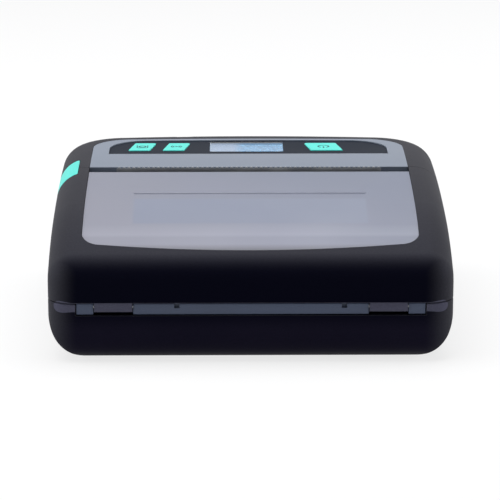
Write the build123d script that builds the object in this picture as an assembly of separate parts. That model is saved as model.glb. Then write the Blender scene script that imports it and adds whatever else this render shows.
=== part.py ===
from build123d import *
import math
import os

# Portable receipt printer, millimetres.
# X runs across the printer, Y from the hinge side to the key side, Z up.
# The origin is at the bottom centre of the whole printer.

# Overall form
half_width = 78.0
rear_y = -75.55
front_y = 76.25
foot_height = 0.5
top_z = 58.2
wall = 2.3
running_gap = 0.3
seat_gap = 0.15

# Parting line between the base and the upper shells, and the seam between cover and casing
parting_z = 23.7
seam_y = rear_y + 86.0

# Side profile of the top: three tangent arcs from the rear wall up to the flat top; they
# were drawn for upper shells 34.5 high and keep their proportion to that height
profile_scale = (top_z - parting_z) / 34.5
rear_arc_r = 13.0 * profile_scale
rear_arc_slope = 27.0
window_arc_r = 120.0 * profile_scale
window_arc_slope = 9.0
crown_arc_r = 450.0 * profile_scale
shoulder_r = 10.5

# Plan outline
front_corner_r = 26.0
front_bow_r = 500.0

# Base section
base_side_r = 18.0
base_edge_r = 10.0
base_rear_rim_r = 0.8

# Paper cover window
window_half_x = half_width - 13.0
window_near_y = rear_y + 9.5
window_bow = 4.0
window_corner_r = 7.0
window_far_y = rear_y + 80.7
window_recess = 0.4
window_thick = 1.8
ledge_width = 2.5
ledge_thick = 1.5
ledge_hold = 1.5
rib_width = 2.4
rib_proud = 0.35
pane_half_x = window_half_x - 19.0
pane_near_y = rear_y + 27.0
pane_far_y = rear_y + 48.0
pane_recess = 0.5
pane_corner_r = 5.0
window_rib_y = rear_y + 55.0

# Hinge
hinge_y = rear_y + 1.4
hinge_z = parting_z - 1.6
barrel_r = 2.1
barrel_web = 0.9
barrel_in_x = half_width - 32.8
barrel_out_x = barrel_in_x + 14.7
block_out_x = barrel_out_x + 6.7
strip_face = 0.5
strip_low_z = 19.1
strip_top_z = 23.45
strip_edge_r = 0.4
hinge_pin_r = 0.6
hinge_pin_fit = 0.05
hinge_pin_reach = 6.0
strip_clearance = 0.4
notch_x = (-28.3, 35.7)
notch_width = 2.0
notch_depth = 1.8
notch_back = 1.6

# Control panel and keypad plate
panel_front_y = rear_y + 137.5
panel_thick = 2.0
panel_corner_r = 16.0
panel_sag = 2.2
panel_bar_y = rear_y + 101.0
panel_bar_width = 2.0
panel_bar_drop = 5.0
plate_half_x = window_half_x - 7.0
plate_near_y = rear_y + 108.0
plate_far_y = rear_y + 134.5
plate_thick = 0.9
plate_corner_r = 15.0
plate_sag = 1.5
key_skew = 2.6
key_near_y = rear_y + 115.0
key_far_y = rear_y + 129.0
key_gap = 0.2
key_low_z = top_z - 4.0
key_corner_r = 1.0
key_edge_r = 0.3
key_flange = 0.8
key_flange_thick = 0.9
key_proud = 0.35
key_travel = 0.5
plate_recess = 0.4
feed_key_x = -plate_half_x + 13.5
pair_key_x = -plate_half_x + 27.8
power_key_x = plate_half_x - 26.3
small_key_width = 9.0
power_key_width = 13.4
display_centre_x = -0.7
display_width = plate_half_x - 27.4
display_near_y = rear_y + 114.0
display_far_y = rear_y + 132.5
module_margin = 2.0
module_glass_recess = 0.4
switch_half = 3.0
switch_height = 3.0
plunger_r = 1.6

# Paper bin and chassis
bin_r = 22.0
bin_wall = 1.6
bin_floor_gap = 0.6
bin_y = rear_y + 11.0 + bin_r
bin_z = foot_height + wall + bin_floor_gap + bin_wall + bin_r
bin_half_x = half_width - 21.0
frame_in_x = bin_half_x + 2.0
frame_out_x = frame_in_x + 2.0
frame_front_y = rear_y + 106.0
frame_low_z = 4.0
frame_knee_z = bin_z + 3.0
guide_thick = 3.0
guide_r = 15.0
guide_hub_r = 6.0
guide_hub_wall = 1.8
guide_hub_length = 6.0
guide_foot_length = 10.0
guide_foot_width = 6.0
guide_foot_lap = 2.0
guide_rib = 1.2
deck_thick = 1.6
shelf_thick = 2.5
shelf_front_y = rear_y + 13.0
shelf_screw_at = (barrel_in_x - 5.2, rear_y + 7.15)
mount_boss_r = 2.2
ear_screw_at = (frame_in_x - 5.0, rear_y + 102.0)
ear_z = 10.0
ear_half = 3.2
mount_screw_depth = 5.0
deck_top_z = top_z - 16.9
deck_front_y = rear_y + 72.0
frame_top_gap = 0.3

# Platen, head and gear train
platen_y = rear_y + 78.8
platen_z = top_z - 10.6
platen_r = 6.0
platen_half_x = frame_in_x - 6.0
shaft_r = 2.0
shaft_fit = 0.05
bushing_r = 3.6
gear_module = 0.6
platen_teeth = 18
idler_teeth = 36
pinion_teeth = 12
gear_in_x = half_width - 10.7
gear_thick = 3.2
idler_angle = 60.0
pinion_angle = 30.0
tooth_backlash = 0.12
axle_r = 1.5
motor_r = 10.0
motor_length = 20.0
motor_shaft_r = 1.0
motor_flange_r = 6.0
motor_flange_thick = 1.0
motor_flange_half = (3.0, 11.5)
head_half_x = platen_half_x - 1.0
head_thick = 1.0
head_height = 13.0
sink_thick = 3.0
head_bracket_thick = 1.2
head_spring_gap = 4.0
head_spring_x = (16.0, 42.0)
head_spring_r = 2.2
head_spring_wire = 0.5
head_spring_drop = 1.0
sink_pad_r = 3.0
sink_floor = 1.2
sink_wing = 3.0
bracket_low_z = platen_z - 9.6
bracket_tab_y = rear_y + 97.5
bracket_tab = 4.0
frame_beam_y = rear_y + 62.0
frame_beam_width = 9.0
frame_beam_z = platen_z - 0.6
tear_half_x = platen_half_x + 1.0
tear_thick = 0.8
tear_low_z = top_z - 3.4
tear_top_z = top_z - 0.6
tear_teeth = 54
tooth_depth = 0.8

# Latch on the left shoulder, across the seam; it moves straight down
latch_in_x = -half_width + 8.4
latch_rear_y = rear_y + 78.0
latch_length = 20.3
latch_skew = 3.0
latch_low_z = top_z - 14.7
latch_thick = 2.8
latch_corner_r = 1.0
latch_travel = 2.0
latch_tongue_low_z = latch_low_z - 6.6
hook_pivot_y = rear_y + 89.5
hook_pivot_z = platen_z - 11.6
hook_in_x = frame_in_x - 1.75
hook_thick = 1.5
hook_rod_r = 1.5
latch_spring_y = rear_y + 82.0
latch_spring_r = 1.3
latch_spring_wire = 0.4
latch_ledge_z = latch_low_z - 8.0
latch_ledge_thick = 1.5
latch_ledge_reach = 3.4
latch_ledge_half = 2.2

# Electronics, battery and small parts
battery_half_x = half_width - 33.0
battery_rear_y = rear_y + 105.5
battery_length = 26.0
battery_height = 16.0
door_thick = 1.5
door_side = 5.0
door_lap = 2.5
door_corner_r = 1.0
door_screw_seat_z = 1.3
board_low_z = 24.5
board_thick = 1.6
board_half_x = half_width - 24.0
board_rear_y = rear_y + 111.0
board_front_y = rear_y + 142.5
board_post_x = board_half_x - 5.0
board_post_r = 2.7
board_screw_depth = 8.0
keypad_board_z = top_z - 9.8
keypad_post_x = plate_half_x - 5.7
keypad_post_inset = 4.0
keypad_screw_depth = 6.0
keypad_board_half_x = keypad_post_x + 2.7
keypad_board_rear_y = rear_y + 105.0
keypad_board_front_y = rear_y + 134.0
port_x = -18.0
port_width = 9.0
port_height = 3.3
port_depth = 8.5
port_sunk = 1.0
port_shell = 0.4
port_corner_r = 1.0
port_tongue = (2.8, 1.3, 2.0)
foot_r = 4.5
foot_sunk = 0.8
foot_x = half_width - 23.0
foot_y = (rear_y + 17.0, rear_y + 126.0)
screw_r = 1.2
screw_head_r = 2.3
screw_head_height = 1.6
screw_slot_half = (1.3, 0.25)
screw_fit = 0.05
screw_clearance = 0.2
boss_wall = 1.9
casing_boss_z = 9.0
case_screw_seat_z = 5.5
case_screw_depth = 12.0
case_screw_length = 14.0
case_screws_at = ((half_width - 12.0, rear_y + 110.0), (half_width - 18.0, rear_y + 134.0))


def box(x0, x1, y0, y1, z0, z1):
    size = (abs(x1 - x0), abs(y1 - y0), abs(z1 - z0))
    centre = Location(((x0 + x1) / 2, (y0 + y1) / 2, (z0 + z1) / 2))
    return centre * Box(*size)


def rod_x(radius, x0, x1, y, z):
    return Location(((x0 + x1) / 2, y, z), (0, 90, 0)) * Cylinder(radius, abs(x1 - x0))


def rod_y(radius, y0, y1, x, z):
    return Location((x, (y0 + y1) / 2, z), (90, 0, 0)) * Cylinder(radius, abs(y1 - y0))


def rod_z(radius, z0, z1, x, y):
    return Location((x, y, (z0 + z1) / 2)) * Cylinder(radius, abs(z1 - z0))


def both_sides(shape):
    return shape + mirror(shape, Plane.YZ)


def save(name, shape):
    shape.label = name
    export_step(shape, "parts/" + name + ".step")


def face_on(plane, lines):
    """Flat face on a plane, bounded by lines drawn in the plane's own X and Y."""
    edges = []
    for line in lines:
        edges += (plane * line).edges()
    return make_face(edges)


def arc_step(radius, slope_from, slope_to):
    """Run and rise of a convex arc that turns from one slope to a flatter one."""
    a = math.radians(slope_from)
    b = math.radians(slope_to)
    run = radius * (math.sin(a) - math.sin(b))
    rise = radius * (math.cos(b) - math.cos(a))
    return run, rise


def top_profile(inset, floor_z):
    """Face in the Y-Z plane under the top surface, inset evenly from it."""
    slopes = (90.0, rear_arc_slope, window_arc_slope, 0.0)
    radii = (rear_arc_r, window_arc_r, crown_arc_r)
    start_z = top_z
    for radius, a, b in zip(radii, slopes, slopes[1:]):
        start_z -= arc_step(radius, a, b)[1]
    y, z = rear_y + inset, start_z
    lines = [Line((y, floor_z), (y, z))]
    for radius, a, b in zip(radii, slopes, slopes[1:]):
        run, rise = arc_step(radius - inset, a, b)
        mid_run, mid_rise = arc_step(radius - inset, a, (a + b) / 2)
        lines.append(ThreePointArc((y, z), (y + mid_run, z + mid_rise), (y + run, z + rise)))
        y, z = y + run, z + rise
    far_y = front_y + 5.0
    lines.append(Polyline((y, z), (far_y, z), (far_y, floor_z), (rear_y + inset, floor_z)))
    return face_on(Plane.YZ, lines)


def under_top(inset, x0, x1, floor_z):
    """Solid below the top surface between two X values."""
    face = top_profile(inset, floor_z)
    return Location((x0, 0, 0)) * extrude(face, amount=x1 - x0, dir=(1, 0, 0))


def plan_outline(inset, rear_corner_r):
    """Plan of the body: parallel sides, straight rear, gently bowed front."""
    x = half_width - inset
    crest = front_y - inset
    radius = front_bow_r - inset
    side_front = crest - (radius - math.sqrt(radius ** 2 - x ** 2))
    y0 = rear_y + inset
    edges = [
        Polyline((-x, side_front), (-x, y0), (x, y0), (x, side_front)),
        ThreePointArc((x, side_front), (0, crest), (-x, side_front)),
    ]
    face = face_on(Plane.XY, edges)
    front = face.vertices().sort_by(Axis.Y)[-2:]
    face = fillet(front, front_corner_r - inset)
    if rear_corner_r > inset:
        rear = face.vertices().group_by(Axis.Y)[0]
        face = fillet(rear, rear_corner_r - inset)
    return face


def upper_form(inset, floor_z):
    """Outer form of both upper shells, inset evenly."""
    solid = under_top(inset, -half_width + inset, half_width - inset, floor_z)
    plan = extrude(plan_outline(inset, 0), amount=top_z + 10.0, dir=(0, 0, 1))
    solid = solid & plan
    rim = []
    for edge in solid.edges():
        middle = edge @ 0.5
        on_side = abs(abs(middle.X) - (half_width - inset)) < 0.01 and middle.Z > floor_z + 0.01
        on_front = abs(middle.Z - (top_z - inset)) < 0.01 and middle.Y > rear_y + 115.0
        if on_front and abs(edge.tangent_at(0.5).X) > 0.01:
            rim.append(edge)
        elif on_side and edge.length > 1.0:
            if middle.Y < front_y - front_corner_r - 5.0:
                rim.append(edge)
    return fillet(rim, shoulder_r - inset)


def base_form(inset, ceiling_z):
    """Outer form of the base: plan with a rounded lower edge and wide side roundings."""
    low_z = foot_height + inset
    plan = Location((0, 0, low_z)) * plan_outline(inset, shoulder_r)
    solid = extrude(plan, amount=ceiling_z - low_z, dir=(0, 0, 1))
    solid = fillet(solid.edges().group_by(Axis.Z)[0], base_edge_r - inset)
    if inset == 0:
        rim = solid.edges().group_by(Axis.Z)[-1]
        rear_rim = [edge for edge in rim if (edge @ 0.5).Y < rear_y + shoulder_r]
        solid = fillet(rear_rim, base_rear_rim_r)
    x = half_width - inset
    radius = base_side_r - inset
    bend = radius * math.sqrt(0.5)
    round_z = low_z + radius
    section = face_on(Plane.XZ, [
        Line((-x + radius, low_z), (x - radius, low_z)),
        ThreePointArc((x - radius, low_z), (x - radius + bend, round_z - bend), (x, round_z)),
        Polyline((x, round_z), (x, ceiling_z + 1.0), (-x, ceiling_z + 1.0), (-x, round_z)),
        ThreePointArc((-x, round_z), (-x + radius - bend, round_z - bend), (-x + radius, low_z)),
    ])
    return solid & extrude(section, amount=2 * front_y + 10.0, both=True)


def window_outline(grow, far_y):
    """Plan of the window: bowed near edge, rounded near corners, straight far edge."""
    x = window_half_x + grow
    crest = window_near_y - grow
    corner_y = crest + window_bow
    face = face_on(Plane.XY, [
        ThreePointArc((-x, corner_y), (0, crest), (x, corner_y)),
        Polyline((x, corner_y), (x, far_y), (-x, far_y), (-x, corner_y)),
    ])
    near = face.vertices().sort_by(Axis.Y)[:2]
    return fillet(near, window_corner_r + grow)


def front_bowed_outline(half_x, near_y, crest_y, sag, corner_r):
    """Plan shared by the control panel and the keypad plate: straight near edge, bowed far edge."""
    face = face_on(Plane.XY, [
        Polyline((half_x, crest_y - sag), (half_x, near_y), (-half_x, near_y),
                 (-half_x, crest_y - sag)),
        ThreePointArc((half_x, crest_y - sag), (0, crest_y), (-half_x, crest_y - sag)),
    ])
    far = face.vertices().sort_by(Axis.Y)[-2:]
    return fillet(far, corner_r)


def panel_outline(grow, near_y):
    return front_bowed_outline(window_half_x + grow, near_y, panel_front_y + grow, panel_sag,
                               panel_corner_r + grow)


def plate_outline(grow):
    return front_bowed_outline(plate_half_x + grow, plate_near_y - grow, plate_far_y + grow,
                               plate_sag, plate_corner_r + grow)


def column(face, low_z, high_z):
    """Prism over a plan face."""
    return Location((0, 0, low_z)) * extrude(face, amount=high_z - low_z, dir=(0, 0, 1))


def skin(inset_top, inset_low):
    """Layer between two insets of the top surface, as wide as the flat part of the crown."""
    x = half_width - shoulder_r
    return under_top(inset_top, -x, x, rear_arc_r) - under_top(inset_low, -x, x, rear_arc_r - 1.0)


def key_outline(centre_x, width, grow):
    """Slanted key; keys lean towards the middle of the panel at their far edge."""
    lean = math.copysign(key_skew / 2, -centre_x)
    x = width / 2 + grow
    near_y, far_y = key_near_y - grow, key_far_y + grow
    face = make_face(Polyline((centre_x - lean - x, near_y), (centre_x - lean + x, near_y),
                              (centre_x + lean + x, far_y), (centre_x + lean - x, far_y), close=True))
    return fillet(face.vertices(), key_corner_r)


def display_outline(grow):
    x = display_width / 2 + grow
    y = (display_far_y - display_near_y) / 2 + grow
    centre = Location((display_centre_x, (display_near_y + display_far_y) / 2))
    return centre * RectangleRounded(2 * x, 2 * y, 0.8 + max(grow, 0))


def latch_outline(grow):
    """Plan of the latch; its two cross edges lean rearwards going outwards."""
    far_x = -half_width - 1.0
    lean = latch_skew * (latch_in_x - far_x) / (half_width + latch_in_x)
    y0, y1 = latch_rear_y - grow, latch_rear_y + latch_length + grow
    face = make_face(Polyline((latch_in_x + grow, y0), (latch_in_x + grow, y1), (far_x, y1 - lean),
                              (far_x, y0 - lean), close=True))
    inner = face.vertices().sort_by(Axis.X)[-2:]
    return fillet(inner, latch_corner_r)


def gear(teeth, bore_r, thick):
    """Spur gear about X, with straight-sided teeth one pitch apart, its first tooth along +Y."""
    pitch_r = gear_module * teeth / 2
    tip_r = pitch_r + gear_module * 0.95
    root_r = pitch_r - gear_module * 1.2
    step = 2 * math.pi / teeth
    half_pitch = step / 4 - tooth_backlash / (2 * pitch_r)
    points = []
    for i in range(teeth):
        for radius, share in ((root_r, -1.55), (tip_r, -0.45), (tip_r, 0.45), (root_r, 1.55)):
            a = i * step + share * half_pitch
            points.append((radius * math.cos(a), radius * math.sin(a)))
    wheel = extrude(make_face(Polyline(*points, close=True)), amount=thick)
    wheel = wheel - Location((0, 0, thick / 2)) * Cylinder(bore_r, thick + 2)
    return Plane.YZ * wheel


def screw(x, y, seat_z, length, up, head_height=screw_head_height):
    """Pan-head screw along Z; its head seats at seat_z and its shank points up or down."""
    sign = 1 if up else -1
    end_z = seat_z - sign * head_height
    slot_z = end_z + sign * 0.4 * head_height
    head = rod_z(screw_head_r, seat_z, end_z, x, y)
    cross = None
    for half_x, half_y in (screw_slot_half, screw_slot_half[::-1]):
        arm = box(x - half_x, x + half_x, y - half_y, y + half_y, end_z, slot_z)
        cross = arm if cross is None else cross + arm
    return head - cross + rod_z(screw_r, seat_z, seat_z + sign * length, x, y)


def four(points):
    """The given plan points and their mirror images across X."""
    return [(side * x, y) for x, y in points for side in (-1, 1)]


os.makedirs("parts", exist_ok=True)

# Shared forms
upper_outer = upper_form(0.0, parting_z)
upper_inner = upper_form(wall, parting_z - 5.0)
upper_shell = upper_outer - upper_inner
inner_x = half_width - wall
above = top_z + 10.0
seam_front_y = seam_y + running_gap
ledge_top = window_recess + window_thick
ledge_low = ledge_top + ledge_thick
latch_gap_low_z = latch_low_z - latch_travel - running_gap
latch_hole = column(latch_outline(running_gap), latch_gap_low_z, above)

# Gear centres: platen gear, reduction gear below it, motor pinion in front of that
platen_pitch_r = gear_module * platen_teeth / 2
idler_pitch_r = gear_module * idler_teeth / 2
pinion_pitch_r = gear_module * pinion_teeth / 2
idler_reach = platen_pitch_r + idler_pitch_r
idler_y = platen_y + idler_reach * math.cos(math.radians(idler_angle))
idler_z = platen_z - idler_reach * math.sin(math.radians(idler_angle))
motor_reach = idler_pitch_r + pinion_pitch_r
motor_y = idler_y + motor_reach * math.cos(math.radians(pinion_angle))
motor_z = idler_z - motor_reach * math.sin(math.radians(pinion_angle))

# Print head stack, from the platen forwards
head_rear_y = platen_y + platen_r + running_gap
sink_rear_y = head_rear_y + head_thick
sink_front_y = sink_rear_y + sink_thick
bracket_y = sink_front_y + head_spring_gap

# Paper cover: black surround with rear wall, side walls and hinge barrels
cover = upper_shell & box(-100, 100, -100, seam_y, 0, above)
cover -= column(window_outline(seat_gap, seam_y + 1.0), parting_z + 8.0, above)
ledge = column(window_outline(seat_gap + ledge_hold, window_far_y), parting_z, above)
ledge -= column(window_outline(-ledge_width, seam_y), parting_z - 1.0, above + 1.0)
cover += ledge & skin(ledge_top, ledge_low)
barrels = rod_x(barrel_r, barrel_in_x, barrel_out_x, hinge_y, hinge_z)
barrels += box(barrel_in_x, barrel_out_x, hinge_y - barrel_web, rear_y + wall, hinge_z,
               parting_z + 1.0)
pin_in_x = barrel_in_x - hinge_pin_reach
pin_hole = rod_x(hinge_pin_r + hinge_pin_fit, pin_in_x - 2.0, block_out_x, hinge_y, hinge_z)
cover += both_sides(barrels)
cover -= both_sides(pin_hole)
cover -= latch_hole
cover += box(-half_width + 1.0, -inner_x + latch_ledge_reach, latch_spring_y - latch_ledge_half,
             latch_spring_y + latch_ledge_half, latch_ledge_z - latch_ledge_thick, latch_ledge_z)
save("cover_shell", cover)

# Frosted window with a rib across it, thinned from below where the roll is looked at
window = column(window_outline(0, window_far_y), parting_z, above)
window &= skin(window_recess, ledge_top)
pane_centre = Location((0, (pane_near_y + pane_far_y) / 2))
pane = pane_centre * RectangleRounded(2 * pane_half_x, pane_far_y - pane_near_y, pane_corner_r)
window -= column(pane, parting_z, above) & skin(ledge_top - pane_recess, ledge_top + 1.0)
rib = box(-pane_half_x, pane_half_x, window_rib_y - rib_width / 2, window_rib_y + rib_width / 2,
          parting_z, above)
window += rib & skin(window_recess - rib_proud, ledge_top)
save("cover_window", window)

# Front casing: upper shell ahead of the seam, with the panel's ledge and the screw bosses
casing = upper_shell & box(-100, 100, seam_front_y, 100, 0, above)
casing -= column(panel_outline(seat_gap, seam_y - 1.0), parting_z + 8.0, above)
ring = column(panel_outline(seat_gap + ledge_hold, seam_front_y), parting_z, above)
ring -= column(panel_outline(-ledge_width, seam_y), parting_z - 1.0, above + 1.0)
casing += ring & skin(panel_thick, panel_thick + ledge_thick)
cross_bar = box(-window_half_x, window_half_x, panel_bar_y, panel_bar_y + panel_bar_width,
                top_z - panel_thick - panel_bar_drop, above)
casing += cross_bar & under_top(panel_thick, -window_half_x, window_half_x, rear_arc_r)
boss_r = screw_r + boss_wall
for x, y in four(case_screws_at):
    casing += rod_z(boss_r, casing_boss_z, top_z - panel_thick - 0.5, x, y)
    casing -= rod_z(screw_r + screw_fit, casing_boss_z - 1.0, casing_boss_z + case_screw_depth, x, y)
port_y = front_y - port_depth
port_box = (port_x - port_width / 2, port_x + port_width / 2)
port_z = board_low_z + board_thick
casing -= box(port_box[0] - running_gap, port_box[1] + running_gap, port_y, front_y + 1.0,
              port_z - running_gap, port_z + port_height + running_gap)
casing -= latch_hole
save("front_casing", casing)

# Grey control panel, with a recess for the keypad plate and posts for the keypad board
plate_low = plate_recess + plate_thick
panel = column(panel_outline(0, seam_front_y), parting_z, above) & skin(0, panel_thick)
panel -= column(plate_outline(seat_gap), parting_z, above) & skin(-1.0, plate_low)
keys = {
    "feed_key": (feed_key_x, small_key_width),
    "pair_key": (pair_key_x, small_key_width),
    "power_key": (power_key_x, power_key_width),
}
key_holes = [column(key_outline(x, w, key_gap), parting_z, above) for x, w in keys.values()]
display_hole = column(display_outline(seat_gap), parting_z, above)
for hole in key_holes:
    panel -= hole
panel -= display_hole
keypad_posts = four(((keypad_post_x, keypad_board_rear_y + keypad_post_inset),
                     (keypad_post_x, keypad_board_front_y - keypad_post_inset)))
for x, y in keypad_posts:
    panel += rod_z(screw_r + 1.0, keypad_board_z + board_thick, top_z - panel_thick, x, y)
    panel -= rod_z(screw_r + screw_fit, keypad_board_z, keypad_board_z + keypad_screw_depth, x, y)
save("control_panel", panel)

# Dark keypad plate and the display window set in it
plate = column(plate_outline(0), parting_z, above) & skin(plate_recess, plate_low)
for hole in key_holes:
    plate -= hole
plate -= display_hole
save("keypad_plate", plate)
lens = column(display_outline(0), parting_z, above) & skin(plate_recess + 0.05, panel_thick)
save("display_window", lens)

# Keys, each with a flange under the panel
plate_top_z = top_z - plate_recess
flange_top_z = top_z - panel_thick - running_gap
for name, (x, width) in keys.items():
    key = column(key_outline(x, width, 0), key_low_z, plate_top_z + key_proud)
    key = fillet(key.edges().group_by(Axis.Z)[-1], key_edge_r)
    key += column(key_outline(x, width, key_flange), flange_top_z - key_flange_thick, flange_top_z)
    save(name, key)

# Display module, keypad board and its switches
keypad_top_z = keypad_board_z + board_thick
module_top_z = top_z - panel_thick - 0.1
glass_mid = Location((display_centre_x, (display_near_y + display_far_y) / 2, 0))
module_area = Rectangle(display_width + 2 * module_margin, display_far_y - display_near_y + 3.0)
glass_area = Rectangle(display_width + module_margin, display_far_y - display_near_y + 1.0)
module = glass_mid * column(module_area, keypad_top_z, module_top_z)
module -= glass_mid * column(glass_area, module_top_z - module_glass_recess, above)
save("display_module", module)
keypad_board = box(-keypad_board_half_x, keypad_board_half_x, keypad_board_rear_y,
                   keypad_board_front_y, keypad_board_z, keypad_top_z)
for x, y in keypad_posts:
    keypad_board -= rod_z(screw_r + screw_clearance, keypad_board_z - 1.0, keypad_top_z + 1.0, x, y)
save("keypad_board", keypad_board)
key_mid_y = (key_near_y + key_far_y) / 2
switches = []
switch_top_z = keypad_top_z + switch_height
for x, _ in keys.values():
    body = box(x - switch_half, x + switch_half, key_mid_y - switch_half, key_mid_y + switch_half,
               keypad_top_z, switch_top_z)
    plunger = rod_z(plunger_r, switch_top_z, key_low_z - key_travel - 0.1, x, key_mid_y)
    switches.append(body + plunger)
save("key_switches", Compound(children=switches))

# Base: tray with a stepped battery opening, screw bosses and a notch for the hinge strip
base_top_z = parting_z - running_gap
base_floor_z = foot_height + wall
notch_floor_z = strip_low_z - 0.25
battery_front_y = battery_rear_y + battery_length
door = (battery_half_x + door_side, battery_rear_y - door_lap, battery_front_y + door_lap)
base = base_form(0.0, base_top_z) - base_form(wall, base_top_z + 10.0)
base -= box(-block_out_x - strip_clearance, block_out_x + strip_clearance, rear_y - 1.0,
            rear_y + wall + 0.5, notch_floor_z, base_top_z + 1.0)
base -= box(-door[0], door[0], door[1], door[2], 0.0, foot_height + door_thick)
base -= box(-battery_half_x - running_gap, battery_half_x + running_gap,
            battery_rear_y - running_gap, battery_front_y + running_gap, 0.0, base_floor_z + 1.0)
for x, y in four([(foot_x, y) for y in foot_y]):
    base -= rod_z(foot_r + seat_gap, 0.0, foot_height + foot_sunk, x, y)
for x, y in four(case_screws_at):
    base += rod_z(boss_r, base_floor_z, casing_boss_z - 0.1, x, y)
    base -= rod_z(screw_r + screw_clearance, 0.0, casing_boss_z, x, y)
    base -= rod_z(screw_head_r + running_gap, 0.0, case_screw_seat_z, x, y)
board_posts = four(((board_half_x - 3.0, board_rear_y + 3.0), (board_post_x, board_front_y - 4.0)))
for x, y in board_posts:
    base += rod_z(board_post_r, base_floor_z - 0.3, board_low_z, x, y)
    base -= rod_z(screw_r + screw_fit, board_low_z - board_screw_depth, board_low_z + 1.0, x, y)
door_screws_at = four(((battery_half_x + door_side / 2, (door[1] + door[2]) / 2),))
for x, y in door_screws_at:
    base += rod_z(screw_r + 0.9, foot_height + door_thick, base_floor_z + 4.0, x, y)
    base -= rod_z(screw_r + screw_fit, 0.0, base_floor_z + 3.0, x, y)
shelf_low_z = strip_top_z - shelf_thick
chassis_mounts = [(x, y, shelf_low_z, strip_top_z) for x, y in four((shelf_screw_at,))]
chassis_mounts += [(x, y, ear_z, ear_z + shelf_thick) for x, y in four((ear_screw_at,))]
for x, y, seat_z, _ in chassis_mounts:
    base += rod_z(mount_boss_r, base_floor_z - 1.0, seat_z, x, y)
    base -= rod_z(screw_r + screw_fit, seat_z - mount_screw_depth, seat_z + 1.0, x, y)
# Nothing of the bosses may stand outside the base; the board posts rise above its rim
base &= base_form(0.0, base_top_z + 0.5) + box(-60, 60, 0.0, front_y - 8.0, base_floor_z, above)
save("base_shell", base)

# Battery, its door and the two door screws
save("battery_pack", box(-battery_half_x, battery_half_x, battery_rear_y, battery_front_y,
                         foot_height + door_thick + 0.1,
                         foot_height + door_thick + battery_height))
door_plate = box(-door[0] + seat_gap, door[0] - seat_gap, door[1] + seat_gap, door[2] - seat_gap,
                 foot_height, foot_height + door_thick)
door_plate = fillet(door_plate.edges().filter_by(Axis.Z), door_corner_r)
for x, y in door_screws_at:
    door_plate -= rod_z(screw_r + screw_clearance, 0.0, base_floor_z, x, y)
    door_plate -= rod_z(screw_head_r + screw_clearance, 0.0, door_screw_seat_z, x, y)
save("battery_door", door_plate)
door_head = door_screw_seat_z - foot_height
save("door_screws", Compound(children=[screw(x, y, door_screw_seat_z, 4.0, True, door_head)
                                       for x, y in door_screws_at]))

# Rubber feet, case screws
feet = [fillet(rod_z(foot_r, 0.0, foot_height + foot_sunk, x, y).edges().group_by(Axis.Z)[0], 0.3)
        for x, y in four([(foot_x, y) for y in foot_y])]
save("rubber_feet", Compound(children=feet))
save("case_screws", Compound(children=[screw(x, y, case_screw_seat_z, case_screw_length, True)
                                       for x, y in four(case_screws_at)]))

# Inner chassis: hinge strip with its blocks, paper bin, deck and two side frames
strip_y = rear_y + strip_face
pocket_y = hinge_y + barrel_r + 0.4
beam_y = pocket_y + 1.0


def strip_block(x0, x1):
    block = box(x0, x1, strip_y, beam_y, strip_low_z, strip_top_z)
    edges = block.edges().filter_by(Axis.X).group_by(Axis.Y)[0]
    return fillet(edges, strip_edge_r)


chassis = strip_block(-barrel_in_x + running_gap, barrel_in_x - running_gap)
for x in notch_x:
    chassis -= box(x - notch_width / 2, x + notch_width / 2, strip_y - 1.0, strip_y + notch_back,
                   strip_top_z - notch_depth, strip_top_z + 1.0)
chassis += both_sides(strip_block(barrel_out_x + running_gap, block_out_x))
chassis += box(-block_out_x, block_out_x, pocket_y, beam_y, strip_low_z, strip_top_z)
chassis += box(-block_out_x, block_out_x, pocket_y, shelf_front_y, shelf_low_z, strip_top_z)
trough = rod_x(bin_r + bin_wall, -frame_in_x, frame_in_x, bin_y, bin_z)
trough &= box(-100, 100, -100, 100, 0, bin_z)
chassis += trough
deck = make_face(Plane.YZ * Polyline(
    (bin_y + bin_r - 0.5, bin_z - 1.0), (bin_y + bin_r + bin_wall, bin_z - 1.0),
    (bin_y + bin_r + bin_wall, bin_z + 2.0), (deck_front_y, deck_top_z - deck_thick - 0.4),
    (deck_front_y, deck_top_z), (bin_y + bin_r - 0.5, bin_z + 4.0), close=True))
chassis += Location((-frame_in_x, 0, 0)) * extrude(deck, amount=2 * frame_in_x, dir=(1, 0, 0))
chassis -= rod_x(bin_r, -bin_half_x, bin_half_x, bin_y, bin_z)
frame_top_z = platen_z - bushing_r - frame_top_gap
frame_side = make_face(Plane.YZ * Polyline(
    (bin_y + bin_r - 2.0, frame_low_z), (frame_front_y, frame_low_z), (frame_front_y, frame_knee_z),
    (sink_front_y + head_spring_gap + 4.0, frame_top_z), (deck_front_y - 4.0, frame_top_z),
    (bin_y + bin_r - 2.0, bin_z + 4.0), close=True))
sides = Location((frame_in_x, 0, 0)) * extrude(frame_side, amount=frame_out_x - frame_in_x,
                                               dir=(1, 0, 0))
chassis += both_sides(sides)
for x, y, low, top in chassis_mounts:
    if low == ear_z:
        edge_x = math.copysign(frame_in_x + 0.5, x)
        chassis += box(x - math.copysign(ear_half, x), edge_x, y - ear_half, y + ear_half, low, top)
    chassis -= rod_z(screw_r + screw_clearance, low - 1.0, top + 1.0, x, y)
for side in (-1, 1):
    chassis -= rod_x(hook_rod_r + shaft_fit, side * (frame_in_x - 1.0), side * (frame_out_x + 1.0),
                     hook_pivot_y, hook_pivot_z)
chassis -= rod_x(axle_r + shaft_fit, frame_in_x - 1.0, frame_out_x + 1.0, idler_y, idler_z)
chassis -= rod_x(motor_shaft_r + 1.0, frame_in_x - 1.0, frame_out_x + 1.0, motor_y, motor_z)
chassis -= both_sides(pin_hole)
save("inner_chassis", chassis)

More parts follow.
